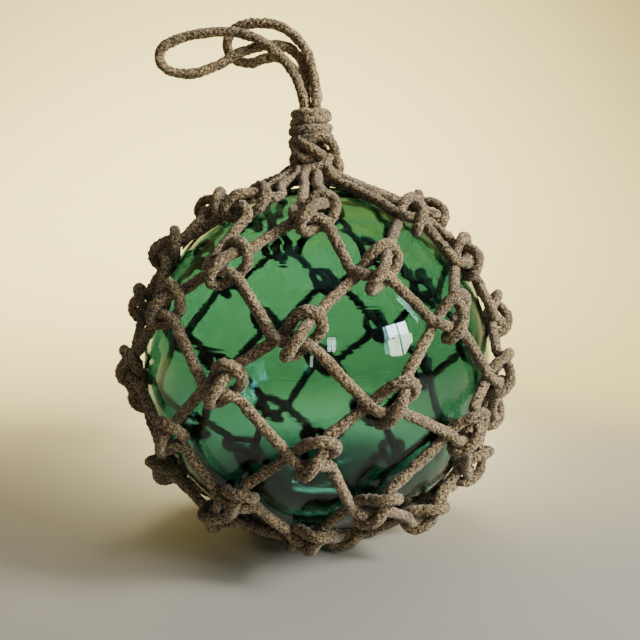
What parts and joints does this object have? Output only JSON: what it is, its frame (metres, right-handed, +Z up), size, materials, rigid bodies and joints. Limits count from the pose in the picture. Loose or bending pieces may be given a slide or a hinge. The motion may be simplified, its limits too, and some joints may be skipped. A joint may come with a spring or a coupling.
{
  "type": "glass float ball",
  "caption": "Hollow blown glass float ball in a knotted rope net, with a lashed rope neck and two free rope loops on top to hang it by.",
  "frame": {"origin": "the middle of the flat underside of the closing knot that the float stands on, straight below the middle of the glass", "axes": "+Z up through the neck, -Y toward the side that the picture shows, +X to its right; the loops lean toward -X"},
  "size_m": [0.3455, 0.3464, 0.4486],
  "materials": {
    "sea_green_glass": "clear sea-green blown glass, glossy, with streaks and small bubbles",
    "weathered_rope": "braided rope, matte, tan with dark brown specks and dirt in the lay",
    "dark_rope": "the same rope, matte, darker brown where it is dirty"
  },
  "bodies": {
    "root": {"glass_ball": "sea_green_glass", "net": "weathered_rope", "neck_lashing": "weathered_rope", "long_loop": "dark_rope", "short_loop": "dark_rope"}
  },
  "joints": []
}
